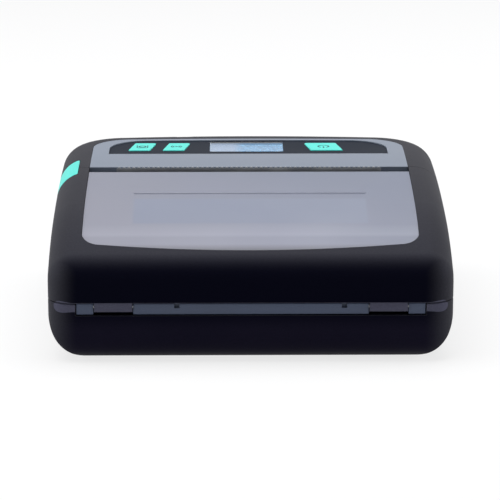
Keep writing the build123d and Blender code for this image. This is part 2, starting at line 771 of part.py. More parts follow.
# Chassis screws and hinge pins
save("chassis_screws", Compound(children=[screw(x, y, top, 6.0, False)
                                          for x, y, _, top in chassis_mounts]))
hinge_pin = rod_x(hinge_pin_r, pin_in_x, block_out_x - 0.4, hinge_y, hinge_z)
save("hinge_pins", Compound(children=[hinge_pin, mirror(hinge_pin, Plane.YZ)]))

# Roll guides: a disc with a hub that enters the core of the roll, on a foot that slides
guide_out_x = bin_half_x - running_gap
guide_in_x = guide_out_x - guide_thick
guide_hub_x = guide_in_x - guide_hub_length
guide = rod_x(guide_r, guide_in_x, guide_out_x, bin_y, bin_z)
guide += rod_x(guide_hub_r, guide_hub_x, guide_in_x, bin_y, bin_z)
half_foot = guide_foot_length / 2
guide_foot_z = bin_z - math.sqrt(bin_r ** 2 - half_foot ** 2) + running_gap
guide += box(guide_out_x - guide_foot_width, guide_out_x, bin_y - half_foot, bin_y + half_foot,
             guide_foot_z, bin_z - guide_r + guide_foot_lap)
guide += box(guide_in_x - guide_rib, guide_in_x, bin_y - guide_rib, bin_y + guide_rib,
             guide_foot_z, bin_z - guide_hub_r + guide_hub_wall / 2)
guide -= rod_x(guide_hub_r - guide_hub_wall, guide_hub_x - 1.0, guide_out_x + 1.0, bin_y, bin_z)
save("roll_guide_right", guide)
save("roll_guide_left", mirror(guide, Plane.YZ))

# Frame under the cover's far edge; its ears carry the platen
ear_out_x = platen_half_x + 4.0
ear_in_x = platen_half_x + 1.0
beam_half_x = window_half_x + ledge_hold - 0.2
cover_frame = under_top(ledge_low, -beam_half_x, beam_half_x, frame_beam_z)
cover_frame &= box(-beam_half_x, beam_half_x, frame_beam_y, frame_beam_y + frame_beam_width,
                   frame_beam_z, above)
ear = box(ear_in_x, ear_out_x, frame_beam_y + 1.0, platen_y, platen_z - 4.0, platen_z + 5.0)
ear += rod_x(bushing_r + 1.8, ear_in_x, ear_out_x, platen_y, platen_z)
cover_frame += both_sides(ear)
cover_frame -= both_sides(rod_x(bushing_r, ear_in_x - 1.0, ear_out_x + 1.0, platen_y, platen_z))
cover_frame &= under_top(ledge_low, -beam_half_x, beam_half_x, 30.0)
save("cover_frame", cover_frame)

# Platen: rubber roller on a steel shaft, plain bushings in the frame's ears, drive gear
shaft_end_x = gear_in_x + gear_thick + 0.5
roller = rod_x(platen_r, -platen_half_x, platen_half_x, platen_y, platen_z)
roller -= rod_x(shaft_r, -half_width, half_width, platen_y, platen_z)
save("platen_roller", roller)
save("platen_shaft", rod_x(shaft_r, -frame_out_x, shaft_end_x, platen_y, platen_z))
bushing = rod_x(bushing_r, ear_in_x, frame_out_x - 0.3, platen_y, platen_z)
bushing -= rod_x(shaft_r + shaft_fit, ear_in_x - 1.0, frame_out_x + 1.0, platen_y, platen_z)
save("platen_bushings", Compound(children=[bushing, mirror(bushing, Plane.YZ)]))


def gear_at(teeth, bore_r, y, z, turn):
    return Location((gear_in_x, y, z)) * (Rotation(turn, 0, 0) * gear(teeth, bore_r, gear_thick))


# Each gear is turned so that a tooth meets a gap on the line between the two centres
idler_turn = 180.0 - idler_angle + 180.0 / idler_teeth
save("platen_gear", gear_at(platen_teeth, shaft_r, platen_y, platen_z, -idler_angle))
save("idler_gear", gear_at(idler_teeth, axle_r + shaft_fit, idler_y, idler_z, idler_turn))
tooth_phase = (-pinion_angle - idler_turn) % (360.0 / idler_teeth) * idler_teeth / pinion_teeth
pinion_turn = 180.0 - pinion_angle + 180.0 / pinion_teeth + tooth_phase
save("motor_pinion", gear_at(pinion_teeth, motor_shaft_r, motor_y, motor_z, pinion_turn))
axle = rod_x(axle_r, frame_in_x, gear_in_x + gear_thick + 0.3, idler_y, idler_z)
axle += rod_x(axle_r + 1.0, frame_out_x + 0.3, gear_in_x - 0.3, idler_y, idler_z)
axle += rod_x(axle_r + 1.0, gear_in_x + gear_thick + 0.3, gear_in_x + gear_thick + 1.3,
              idler_y, idler_z)
save("gear_axle", axle)
motor_end_x = frame_in_x - 0.1
flange_x = motor_end_x - motor_flange_thick
flange_y, flange_z = motor_flange_half
motor = rod_x(motor_r, motor_end_x - motor_length, flange_x, motor_y, motor_z)
flange = rod_x(motor_flange_r, flange_x, motor_end_x, motor_y, motor_z)
flange += box(flange_x, motor_end_x, motor_y - flange_y, motor_y + flange_y, motor_z - flange_z,
              motor_z + flange_z)
save("stepper_motor", motor + flange)
save("motor_shaft", rod_x(motor_shaft_r, motor_end_x, gear_in_x + gear_thick, motor_y, motor_z))

# Print head: ceramic strip, heat sink, two springs and a bent steel bracket
head_low_z = platen_z - head_height / 2
save("print_head", box(-head_half_x, head_half_x, head_rear_y, sink_rear_y, head_low_z,
                       head_low_z + head_height))
sink_top_z = head_low_z + head_height - 1.0
sink = box(-head_half_x - 1.0, head_half_x + 1.0, sink_rear_y, sink_front_y,
           head_low_z - sink_wing, sink_top_z)
sink -= box(-head_half_x + 2 * sink_wing, head_half_x - 2 * sink_wing, sink_rear_y + sink_floor,
            sink_front_y + 1.0, head_low_z - 1.0, sink_top_z - 2.0)
spring_z = platen_z - head_spring_drop
spring_bore_r = head_spring_r - head_spring_wire
springs = []
for x in head_spring_x + tuple(-x for x in head_spring_x):
    sink += rod_y(sink_pad_r, sink_rear_y + 1.0, sink_front_y, x, spring_z)
    spring = rod_y(head_spring_r, sink_front_y, bracket_y, x, spring_z)
    springs.append(spring - rod_y(spring_bore_r, sink_front_y - 1.0, bracket_y + 1.0, x, spring_z))
save("head_sink", sink)
save("head_springs", Compound(children=springs))
bracket_half_x = hook_in_x - 0.8
bracket = box(-bracket_half_x, bracket_half_x, bracket_y, bracket_y + head_bracket_thick,
              bracket_low_z, platen_z + 3.0)
bracket_front_y = bracket_tab_y + bracket_tab
bracket_floor_z = bracket_low_z + head_bracket_thick
bracket += box(-bracket_half_x, bracket_half_x, bracket_y, bracket_front_y, bracket_low_z,
               bracket_floor_z)
bracket += box(-frame_in_x, frame_in_x, bracket_tab_y, bracket_front_y, bracket_low_z,
               bracket_floor_z)
save("head_bracket", bracket)

# Tear bar with fine teeth, on the panel's edge over the paper slot
tear = box(-tear_half_x, tear_half_x, seam_front_y - tear_thick, seam_front_y, tear_low_z,
           tear_top_z)
tooth_pitch = 2 * tear_half_x / tear_teeth
points = [(-tear_half_x, tear_top_z - tooth_depth)]
for i in range(tear_teeth):
    points.append((-tear_half_x + (i + 0.5) * tooth_pitch, tear_top_z))
    points.append((-tear_half_x + (i + 1.0) * tooth_pitch, tear_top_z - tooth_depth))
points += [(tear_half_x, tear_low_z), (-tear_half_x, tear_low_z)]
tear_face = make_face(Plane.XZ * Polyline(*points, close=True))
tear_edge = extrude(tear_face, amount=10.0, both=True)
save("tear_bar", Location((0, seam_front_y, 0)) * tear_edge & tear)

# Latch: teal key on the cover's shoulder with a tongue inside, its spring, and the hook bar
latch = column(latch_outline(0), latch_low_z, above) & (upper_outer - upper_form(latch_thick, 0.0))
tongue_x = (-inner_x + running_gap, -inner_x + 2.0)
tongue_y = hook_pivot_y + 5.1
tongue = box(*tongue_x, tongue_y - 5.0, tongue_y + 1.0, latch_low_z - 2.0, latch_low_z + 4.0)
tongue += box(*tongue_x, tongue_y, tongue_y + 1.0, latch_tongue_low_z, latch_low_z)
tongue += box(-inner_x + running_gap, -inner_x + 3.2, latch_spring_y - 2.5, latch_spring_y + 2.5,
              latch_low_z - 2.0, latch_low_z + 3.0)
tongue += box(-half_width + 1.0, tongue_x[1], latch_spring_y - 2.5, tongue_y + 0.5,
              latch_low_z + 0.5, latch_low_z + 4.0)
save("latch_key", latch + tongue)
spring_x = -inner_x + 1.8
latch_spring = rod_z(latch_spring_r, latch_ledge_z, latch_low_z - 2.0, spring_x, latch_spring_y)
latch_spring -= rod_z(latch_spring_r - latch_spring_wire, 0.0, above, spring_x, latch_spring_y)
save("latch_spring", latch_spring)
hook_face = make_face(Plane.YZ * Polyline(
    (hook_pivot_y - 1.4, hook_pivot_z - 1.2), (hook_pivot_y + 1.4, hook_pivot_z - 1.2),
    (hook_pivot_y + 1.6, hook_pivot_z + 10.0), (hook_pivot_y + 0.8, platen_z + 5.2),
    (hook_pivot_y - 3.0, platen_z + 6.6), (platen_y + 3.4, platen_z + 4.9),
    (platen_y + 4.2, platen_z + 3.6), (hook_pivot_y - 3.4, platen_z + 2.0),
    (hook_pivot_y - 2.6, hook_pivot_z + 8.0), close=True))
hook = Location((hook_in_x, 0, 0)) * extrude(hook_face, amount=hook_thick, dir=(1, 0, 0))
hook_bar = both_sides(hook) + rod_x(hook_rod_r, tongue_x[0], frame_out_x - 0.1, hook_pivot_y,
                                    hook_pivot_z)
hook_bar += box(*tongue_x, hook_pivot_y, tongue_y + 2.0, hook_pivot_z - 1.2, hook_pivot_z + 0.5)
save("latch_hook_bar", hook_bar)

# Main board with its parts, data port
board = box(-board_half_x, board_half_x, board_rear_y, board_front_y, board_low_z, port_z)
for x, y in board_posts:
    board -= rod_z(screw_r + screw_clearance, board_low_z - 1.0, port_z + 1.0, x, y)
save("main_board", board)
save("board_screws", Compound(children=[screw(x, y, port_z, 5.0, False) for x, y in board_posts]
                              + [screw(x, y, keypad_board_z, 4.0, True) for x, y in keypad_posts]))
port = box(*port_box, port_y, front_y - port_sunk, port_z, port_z + port_height)
port = fillet(port.edges().filter_by(Axis.Y), port_corner_r)
port -= box(port_box[0] + port_shell, port_box[1] - port_shell, port_y + 1.5, front_y,
            port_z + port_shell, port_z + port_height - port_shell)
tongue_half, tongue_low, tongue_top = port_tongue
port += box(port_x - tongue_half, port_x + tongue_half, port_y + 1.0, front_y - 2 * port_sunk,
            port_z + tongue_low, port_z + tongue_top)
save("data_port", port)
save("buzzer", rod_z(5.0, port_z, port_z + 4.5, 20.0, board_rear_y + 10.0))
chips = box(-6.0, 6.0, board_rear_y + 6.0, board_rear_y + 18.0, port_z, port_z + 1.4)
chips += box(-34.0, -28.0, board_rear_y + 8.0, board_rear_y + 14.0, port_z, port_z + 1.0)
save("board_chips", Compound(children=chips.solids()))
save("paper_sensor", box(-5.0, 5.0, deck_front_y, deck_front_y + 4.0, deck_top_z - 4.5,
                         deck_top_z - 0.6))
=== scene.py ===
import math

import bmesh
import bpy
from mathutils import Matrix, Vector


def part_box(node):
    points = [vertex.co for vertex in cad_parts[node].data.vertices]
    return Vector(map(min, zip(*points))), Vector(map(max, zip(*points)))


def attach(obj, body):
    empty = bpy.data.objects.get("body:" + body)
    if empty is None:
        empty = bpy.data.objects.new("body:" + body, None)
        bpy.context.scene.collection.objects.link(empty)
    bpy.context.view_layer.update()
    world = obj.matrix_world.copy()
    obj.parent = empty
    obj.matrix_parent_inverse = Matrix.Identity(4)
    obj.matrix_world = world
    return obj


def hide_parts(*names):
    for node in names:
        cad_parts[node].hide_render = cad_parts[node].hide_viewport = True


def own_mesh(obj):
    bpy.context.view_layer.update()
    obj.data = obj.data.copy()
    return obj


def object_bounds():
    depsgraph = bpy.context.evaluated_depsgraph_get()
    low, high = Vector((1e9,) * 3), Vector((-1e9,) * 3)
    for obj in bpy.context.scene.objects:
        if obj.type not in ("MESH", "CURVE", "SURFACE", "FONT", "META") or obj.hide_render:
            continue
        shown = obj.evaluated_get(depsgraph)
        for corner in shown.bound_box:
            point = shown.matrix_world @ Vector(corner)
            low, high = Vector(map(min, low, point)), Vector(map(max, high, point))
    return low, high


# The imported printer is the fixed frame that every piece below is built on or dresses.
# Units are metres; X runs across the printer, +Y goes from the hinge side to the keys, Z is up.
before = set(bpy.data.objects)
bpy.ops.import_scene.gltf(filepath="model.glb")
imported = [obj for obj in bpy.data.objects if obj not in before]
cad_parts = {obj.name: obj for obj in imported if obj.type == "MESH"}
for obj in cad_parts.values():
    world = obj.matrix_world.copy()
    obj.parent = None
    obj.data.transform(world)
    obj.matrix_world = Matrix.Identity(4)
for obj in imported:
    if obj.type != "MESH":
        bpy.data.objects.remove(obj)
cad_low, cad_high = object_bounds()
scene = bpy.context.scene
scene.view_settings.view_transform = "Standard"

# Camera: about a metre behind the hinge side and a little above the printer, on a long lens,
# so the hinge wall is nearly square to the view and the top is seen at a shallow angle.
camera_data = bpy.data.cameras.new("camera")
camera_data.sensor_width = 36.0
camera_data.lens = 196.3
camera = bpy.data.objects.new("camera", camera_data)
scene.collection.objects.link(camera)
camera.location = (-0.0100, -1.0764, 0.3035)
camera.rotation_euler = (math.radians(90 - 14.5), 0.0, math.radians(-0.55))
scene.camera = camera


def linear(hex_colour):
    """Linear RGBA of an sRGB hex colour."""
    shares = [int(hex_colour[i:i + 2], 16) / 255 for i in (1, 3, 5)]
    return tuple(s / 12.92 if s <= 0.04045 else ((s + 0.055) / 1.055) ** 2.4
                 for s in shares) + (1.0,)


def add_node(tree, kind, inputs=None, **settings):
    """Adds a node with its settings; each input is a value or the output socket that feeds it."""
    node = tree.nodes.new(kind)
    for name, value in settings.items():
        setattr(node, name, value)
    for name, value in (inputs or {}).items():
        if isinstance(value, bpy.types.NodeSocket):
            tree.links.new(value, node.inputs[name])
        else:
            node.inputs[name].default_value = value
    return node


def calc(tree, operation, *values):
    """Output of a Math node on values or sockets."""
    return add_node(tree, "ShaderNodeMath", dict(enumerate(values)), operation=operation).outputs[0]


# Studio: pale matt sweep under the printer and an even white surround. The surround is full white
# only where it is seen, reflected or seen through something; it lights the printer less than that.
def seen_ray(tree):
    """1 on rays that come from the camera, a reflection or something clear, and else 0."""
    path = add_node(tree, "ShaderNodeLightPath").outputs
    seen = calc(tree, "MAXIMUM", path["Is Camera Ray"], path["Is Glossy Ray"])
    return calc(tree, "MAXIMUM", seen, path["Is Transmission Ray"])


world = bpy.data.worlds.new("studio")
scene.world = world
world.use_nodes = True
tree = world.node_tree
tree.nodes.clear()
soft = add_node(tree, "ShaderNodeBackground", {"Color": linear("#eceef6"), "Strength": 0.24})
white = add_node(tree, "ShaderNodeBackground", {"Color": linear("#ffffff"), "Strength": 1.0})
mixed = add_node(tree, "ShaderNodeMixShader",
                 {0: seen_ray(tree), 1: soft.outputs[0], 2: white.outputs[0]})
add_node(tree, "ShaderNodeOutputWorld", {"Surface": mixed.outputs[0]})

floor_mesh = bpy.data.meshes.new("floor")
floor_mesh.from_pydata([(-6, -4, 0), (6, -4, 0), (6, 12, 0), (-6, 12, 0)], [], [(0, 1, 2, 3)])
floor = bpy.data.objects.new("floor", floor_mesh)
scene.collection.objects.link(floor)
paper_sweep = bpy.data.materials.new("matt_paper_sweep")
paper_sweep.use_nodes = True
tree = paper_sweep.node_tree
tree.nodes.clear()
matt = add_node(tree, "ShaderNodeBsdfDiffuse", {"Color": linear("#f2f2f2")})
lit = add_node(tree, "ShaderNodeEmission", {"Color": linear("#ffffff"), "Strength": 1.0})
lit_share = calc(tree, "MULTIPLY", seen_ray(tree), 0.75)
mixed = add_node(tree, "ShaderNodeMixShader", {0: lit_share, 1: matt.outputs[0], 2: lit.outputs[0]})
add_node(tree, "ShaderNodeOutputMaterial", {"Surface": mixed.outputs[0]})
floor_mesh.materials.append(paper_sweep)

# Lamps: a wide soft box overhead and a weaker one at each side. None stands by the camera, so the
# hinge wall stays dark.
lamp_target = Vector((0.0, 0.0, 0.03))
for name, place, size, watts in (("key_box", (-0.1, 0.15, 1.1), 1.0, 15.0),
                                 ("left_box", (-1.1, 0.1, 0.45), 0.6, 5.0),
                                 ("right_box", (1.1, 0.1, 0.45), 0.6, 5.0)):
    lamp = bpy.data.lights.new(name, "AREA")
    lamp.shape = "RECTANGLE"
    lamp.size, lamp.size_y = 1.6 * size, size
    lamp.energy = watts
    lamp_object = bpy.data.objects.new(name, lamp)
    scene.collection.objects.link(lamp_object)
    lamp_object.location = place
    aim = lamp_target - Vector(place)
    lamp_object.rotation_euler = aim.to_track_quat("-Z", "Y").to_euler()


# Outer shells: base tray, front casing, paper cover and battery door. Charcoal ABS, injection
# moulded in a spark-eroded tool, which leaves a fine even grain; the edges are rubbed smoother.
def ramp(tree, value, low, high, at_low=0.0, at_high=1.0, kind="LINEAR"):
    """Output that goes from at_low to at_high, and stops there, as value goes from low to high."""
    node = add_node(tree, "ShaderNodeMapRange",
                    {"Value": value, "From Min": low, "From Max": high, "To Min": at_low,
                     "To Max": at_high}, interpolation_type=kind)
    return node.outputs[0]


def blend(tree, share, first, second):
    """Colour output: first at share 0, second at share 1."""
    return add_node(tree, "ShaderNodeMixRGB",
                    {"Fac": share, "Color1": first, "Color2": second}).outputs[0]


def noise(tree, place, size_mm, **details):
    """Noise with features of about the given size; it keeps mostly between 0.3 and 0.7."""
    return add_node(tree, "ShaderNodeTexNoise",
                    {"Vector": place, "Scale": 1000.0 / size_mm, **details}).outputs["Fac"]


def new_material(name):
    material = bpy.data.materials.new(name)
    material.use_nodes = True
    material.node_tree.nodes.clear()
    return material, material.node_tree


def moulded_plastic(name, colour, roughness, specular, grain_mm, grain_depth_mm, edge_mm=0.35,
                    edge_highlight_lift=0.25, variation=0.08, gloss_tint="#ffffff", paint=None):
    """Moulded plastic: grain in the surface, faint unevenness in tone, smoother edges, and a
    painted highlight that makes the edges paler.

    paint, where given, makes the colour from the place instead.
    """
    material, tree = new_material(name)
    place = add_node(tree, "ShaderNodeTexCoord").outputs["Object"]
    grain = noise(tree, place, grain_mm, Detail=2.0, Roughness=0.6)
    flow = noise(tree, place, 45.0, Detail=3.0, Roughness=0.5)
    geometry = add_node(tree, "ShaderNodeNewGeometry")
    rounded = add_node(tree, "ShaderNodeBevel", {"Radius": edge_mm / 1000.0}, samples=6)
    facing = add_node(tree, "ShaderNodeVectorMath",
                      {0: rounded.outputs[0], 1: geometry.outputs["Normal"]},
                      operation="DOT_PRODUCT")
    edge = ramp(tree, facing.outputs["Value"], 0.995, 0.85)
    tone = calc(tree, "MULTIPLY", ramp(tree, flow, 0.3, 0.7, 1.0 - variation, 1.0 + variation),
                ramp(tree, grain, 0.3, 0.7, 1.0 - variation, 1.0 + variation))
    flat = linear(colour)[:3]
    body = add_node(tree, "ShaderNodeVectorMath",
                    {0: paint(tree, place) if paint else flat, "Scale": tone}, operation="SCALE")
    # painted highlight: the edges are painted paler than the body
    edge_highlight_colour = tuple(min(1.0, c * (1 + edge_highlight_lift) + 0.012) for c in flat) + (1.0,)
    with_edge_highlight = blend(tree, edge, body.outputs[0], edge_highlight_colour)
    rough = ramp(tree, flow, 0.3, 0.7, roughness - 0.04, roughness + 0.04)
    rough = calc(tree, "MULTIPLY_ADD", edge, -0.08, rough)
    relief = add_node(tree, "ShaderNodeBump", {"Height": grain, "Strength": 1.0,
                                              "Distance": grain_depth_mm / 1000.0,
                                              "Normal": rounded.outputs[0]})
    shader = add_node(tree, "ShaderNodeBsdfPrincipled",
                      {"Base Color": with_edge_highlight, "Roughness": rough, "IOR": 1.53,
                       "Specular IOR Level": specular, "Specular Tint": linear(gloss_tint),
                       "Normal": relief.outputs[0]})
    add_node(tree, "ShaderNodeOutputMaterial", {"Surface": shader.outputs[0]})
    return material


def dress(material, *names):
    """Puts one material on all the slots of the named CAD nodes."""
    for name in names:
        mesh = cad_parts[name].data
        if not mesh.materials:
            mesh.materials.append(material)
        for i in range(len(mesh.materials)):
            mesh.materials[i] = material


# Painted shade: the hinge wall, which faces away from the lamps, is painted nearly black, as it
# looks in the photo, with painted light making it a little paler on the base tray; the painted
# shade fades into charcoal over its top edge and at the sides. The hinge barrels are painted
# slate, a painted highlight paler than the charcoal of the cover they belong to.
charcoal = "#313135"
barrel_radius = 0.00225


def charcoal_with_painted_light(tree, place):
    across = add_node(tree, "ShaderNodeSeparateXYZ", {0: place}).outputs
    # painted shade: near black on the hinge wall, paler on the base tray, ending over the top edge
    # and at the sides
    off_wall = ramp(tree, across["Y"], cad_low.y + 0.002, cad_low.y + 0.0095, kind="SMOOTHSTEP")
    on_side = ramp(tree, calc(tree, "ABSOLUTE", across["X"]), cad_high.x - 0.012,
                   cad_high.x - 0.001, kind="SMOOTHSTEP")
    base_painted_light = ramp(tree, across["Z"], 0.021, 0.012, kind="SMOOTHSTEP")
    wall_painted_shade = blend(tree, base_painted_light, linear("#05050a"), linear("#15131d"))
    shade = blend(tree, calc(tree, "MAXIMUM", off_wall, on_side), wall_painted_shade, linear(charcoal))
    low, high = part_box("hinge_pins")
    pin_axis = (0.0, (low.y + high.y) / 2, (low.z + high.z) / 2)
    from_pin = add_node(tree, "ShaderNodeVectorMath", {0: place, 1: pin_axis},
                        operation="SUBTRACT")
    from_pin = add_node(tree, "ShaderNodeVectorMath", {0: from_pin.outputs[0], 1: (0.0, 1.0, 1.0)},
                        operation="MULTIPLY")
    from_pin = add_node(tree, "ShaderNodeVectorMath", {0: from_pin.outputs[0]}, operation="LENGTH")
    # painted highlight: the barrels are painted slate, paler than the charcoal around them
    on_barrel = calc(tree, "LESS_THAN", from_pin.outputs["Value"], barrel_radius)
    return blend(tree, on_barrel, shade, linear("#4b4b59"))


# the grain is drawn at 0.7 mm, coarser than the real one, which is finer than a pixel
charcoal_abs = moulded_plastic("charcoal_abs_spark_eroded", charcoal, 0.55, 0.05, 0.7, 0.05,
                               edge_highlight_lift=0.1, gloss_tint="#8f95ff", paint=charcoal_with_painted_light)
dress(charcoal_abs, "base_shell", "front_casing", "cover_shell", "battery_door")

# Paper window: lavender-grey polycarbonate with a frosted face, snapped into the cover. It
# scatters light, so what is behind it shows only as a soft change of tone.
frosted_pc, tree = new_material("frosted_polycarbonate")
coordinates = add_node(tree, "ShaderNodeTexCoord").outputs
across = add_node(tree, "ShaderNodeSeparateXYZ", {0: coordinates["Object"]}).outputs
frost = noise(tree, coordinates["Object"], 0.5, Detail=2.0)
cloud = noise(tree, coordinates["Object"], 30.0, Detail=2.0)
tint = blend(tree, ramp(tree, cloud, 0.3, 0.7), linear("#757c8f"), linear("#7b8296"))
# painted light and shade: painted paler and rosier towards the hinge and the latch side, greyer on
# the other side, and painted shade along the rounded near edge, as in the photo
near_painted_light = ramp(tree, across["Y"], 0.004, cad_low.y + 0.014)
tint = blend(tree, near_painted_light, tint, linear("#9093a6"))
latch_side_painted_light = ramp(tree, across["X"], 0.02, -0.062, 0.0, 0.45)
tint = blend(tree, latch_side_painted_light, tint, linear("#93919c"))
far_side_painted_shade = ramp(tree, across["X"], 0.015, 0.062, 0.0, 0.6)
tint = blend(tree, far_side_painted_shade, tint, linear("#787f93"))
rim_painted_shade = ramp(tree, across["Y"], cad_low.y + 0.0140, cad_low.y + 0.0105)
tint = blend(tree, rim_painted_shade, tint, linear("#63646f"))
# painted shade: the thinned pane is painted deeper and bluer, for the dark inside seen through it;
# the full colour keeps just inside the CAD pane's edges
hinge_wall_y = cad_low.y + 0.0007
pane_low, pane_high = hinge_wall_y + 0.0275, hinge_wall_y + 0.0475
pane_half_x = 0.0450
inside = calc(tree, "MULTIPLY",
              ramp(tree, calc(tree, "ABSOLUTE", across["X"]), pane_half_x + 0.0015, pane_half_x,
                   kind="SMOOTHSTEP"),
              ramp(tree, across["Y"], pane_low - 0.002, pane_low, kind="SMOOTHSTEP"))
inside = calc(tree, "MULTIPLY", inside,
              ramp(tree, across["Y"], pane_high + 0.002, pane_high, kind="SMOOTHSTEP"))
tint = blend(tree, inside, tint, linear("#858ca1"))
# steps that face the hinge get a painted highlight, for the pale band that the photo shows by the
# rib
facing = add_node(tree, "ShaderNodeSeparateXYZ", {0: coordinates["Normal"]}).outputs
past_rim = ramp(tree, across["Y"], cad_low.y + 0.018, cad_low.y + 0.020)
step_painted_highlight = calc(tree, "MULTIPLY", ramp(tree, facing["Y"], -0.3, -0.8), past_rim)
tint = blend(tree, step_painted_highlight, tint, linear("#e4e7f4"))
rough = ramp(tree, cloud, 0.3, 0.7, 0.42, 0.5)
relief = add_node(tree, "ShaderNodeBump", {"Height": frost, "Strength": 1.0, "Distance": 0.00002})
shader = add_node(tree, "ShaderNodeBsdfPrincipled",
                  {"Base Color": tint, "Roughness": rough, "IOR": 1.58, "Specular IOR Level": 0.35,
                   "Transmission Weight": 0.25, "Normal": relief.outputs[0]})
add_node(tree, "ShaderNodeOutputMaterial", {"Surface": shader.outputs[0]})
dress(frosted_pc, "cover_window")

# Control panel and the frame inside the cover: grey ABS with a satin moulded face.
grey_abs = moulded_plastic("grey_abs_satin", "#6e7786", 0.45, 0.35, 0.6, 0.015, variation=0.03)
dress(grey_abs, "control_panel", "cover_frame", "roll_guide_left", "roll_guide_right")

# Keypad plate: dark film-printed polycarbonate, laid in a shallow recess of the panel.
printed_film = moulded_plastic("dark_printed_film", "#151b26", 0.6, 0.05, 0.5, 0.02,
                               variation=0.04)
dress(printed_film, "keypad_plate")

# Keys and latch: teal ABS, satin from the tool.
teal_abs = moulded_plastic("teal_abs_satin", "#43d2c5", 0.45, 0.35, 0.6, 0.01, variation=0.03)
dress(teal_abs, "feed_key", "pair_key", "power_key", "latch_key")

# Key symbols: dark ink, pad printed on each key and read from the key side, so "up" is -Y.
symbol_ink = moulded_plastic("dark_pad_print", "#17414a", 0.6, 0.2, 0.3, 0.002)
ink_thick = 0.00003


def ring_part(mesh, x, y, z, inner, outer, start_deg, end_deg):
    """Adds a flat arc of ink, counted anticlockwise from +X, in steps of about 9 degrees."""
    steps = max(3, int((end_deg - start_deg) / 9))
    edges = []
    for i in range(steps + 1):
        a = math.radians(start_deg + (end_deg - start_deg) * i / steps)
        edges.append([mesh.verts.new((x + r * math.cos(a), y + r * math.sin(a), z))
                      for r in (inner, outer)])
    for (a, b), (c, d) in zip(edges, edges[1:]):
        mesh.faces.new((a, b, d, c))


def bar(mesh, x0, x1, y0, y1, z):
    corners = ((x0, y0, z), (x1, y0, z), (x1, y1, z), (x0, y1, z))
    mesh.faces.new([mesh.verts.new(p) for p in corners])


def print_symbol(key, draw):
    """Draws a symbol at the middle of a key's top, gives it thickness, and lets it ride along."""
    low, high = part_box(key)
    x, y, z = (low.x + high.x) / 2, (low.y + high.y) / 2, high.z
    ink = bmesh.new()
    draw(ink, x, y, z)
    bmesh.ops.remove_doubles(ink, verts=ink.verts, dist=1e-6)
    skin = bmesh.ops.extrude_face_region(ink, geom=ink.faces[:])
    raised = [v for v in skin["geom"] if isinstance(v, bmesh.types.BMVert)]
    bmesh.ops.translate(ink, verts=raised, vec=(0, 0, ink_thick))
    bmesh.ops.recalc_face_normals(ink, faces=ink.faces)
    mesh = bpy.data.meshes.new(key + "_symbol")
    ink.to_mesh(mesh)
    ink.free()
    mesh.materials.append(symbol_ink)
    symbol = bpy.data.objects.new(key + "_symbol", mesh)
    scene.collection.objects.link(symbol)
    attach(symbol, key.split("_")[0])


def power_sign(ink, x, y, z):
    """An open ring with a bar through its gap."""
    ring_part(ink, x, y, z, 0.0019, 0.0025, -60, 240)
    bar(ink, x - 0.0003, x + 0.0003, y - 0.0030, y - 0.0004, z)


def feed_sign(ink, x, y, z):
    """A ring in a three-sided frame."""
    ring_part(ink, x, y, z, 0.0010, 0.0017, 0, 360)
    side_x, line_width, half_height = 0.0022, 0.0004, 0.0022
    for side in (-side_x, side_x):
        bar(ink, x + side - line_width / 2, x + side + line_width / 2,
            y - half_height, y + half_height, z)
    bar(ink, x - 0.0020, x + 0.0020, y - 0.0027, y - half_height, z)


def pair_sign(ink, x, y, z):
    """A dot with two arcs on each side."""
    ring_part(ink, x, y, z, 0.0, 0.0006, 0, 360)
    for radius in (0.0011, 0.0019):
        for middle in (0, 180):
            ring_part(ink, x, y, z, radius, radius + 0.0004, middle - 48, middle + 48)


print_symbol("power_key", power_sign)
print_symbol("feed_key", feed_sign)
print_symbol("pair_key", pair_sign)

# Hinge strip and the chassis behind it: slate grey glass-filled ABS, one moulding.
slate_abs = moulded_plastic("slate_filled_abs", "#404a60", 0.5, 0.35, 0.6, 0.03, variation=0.06)
dress(slate_abs, "inner_chassis")

# Display: clear lens over a blue backlit graphic panel with rows of lit dots. The lens is given a
# low IOR, because at this shallow view the white surround would else hide the panel.
clear_lens, tree = new_material("clear_acrylic_lens")
shader = add_node(tree, "ShaderNodeBsdfPrincipled",
                  {"Base Color": linear("#f2f6fb"), "Roughness": 0.06, "IOR": 1.12,
                   "Transmission Weight": 1.0})
add_node(tree, "ShaderNodeOutputMaterial", {"Surface": shader.outputs[0]})
dress(clear_lens, "display_window")

# dots of 0.6 mm in text lines, from a little left of the middle to the right end; the real dots
# are finer than a pixel, and the pale part on the left carries none
dot_mm, line_mm = 0.6, 3.6
lit_panel, tree = new_material("blue_backlit_panel")
place = add_node(tree, "ShaderNodeTexCoord").outputs["Object"]
across = add_node(tree, "ShaderNodeSeparateXYZ", {0: place}).outputs
cells = add_node(tree, "ShaderNodeMapping",
                 {"Vector": place, "Scale": (1000 / dot_mm, 1000 / dot_mm, 0.0)})
cells = add_node(tree, "ShaderNodeVectorMath", {0: cells.outputs[0]}, operation="FLOOR")
dots = add_node(tree, "ShaderNodeTexWhiteNoise", {"Vector": cells.outputs[0]},
                noise_dimensions="3D")
lit_dot = calc(tree, "GREATER_THAN", dots.outputs["Value"], 0.55)
line = calc(tree, "FRACT", calc(tree, "MULTIPLY", across["Y"], 1000 / line_mm))
in_line = calc(tree, "LESS_THAN", line, 0.68)
text_side = ramp(tree, across["X"], -0.006, -0.002)
shown = calc(tree, "MULTIPLY", calc(tree, "MULTIPLY", lit_dot, in_line), text_side)
ground = blend(tree, text_side, linear("#8ea5be"), linear("#3c86b4"))
glow = blend(tree, shown, ground, linear("#6cc0ea"))
shader = add_node(tree, "ShaderNodeBsdfPrincipled",
                  {"Base Color": linear("#10243f"), "Roughness": 0.3, "Specular IOR Level": 0.1,
                   "Emission Color": glow, "Emission Strength": 0.9})
add_node(tree, "ShaderNodeOutputMaterial", {"Surface": shader.outputs[0]})
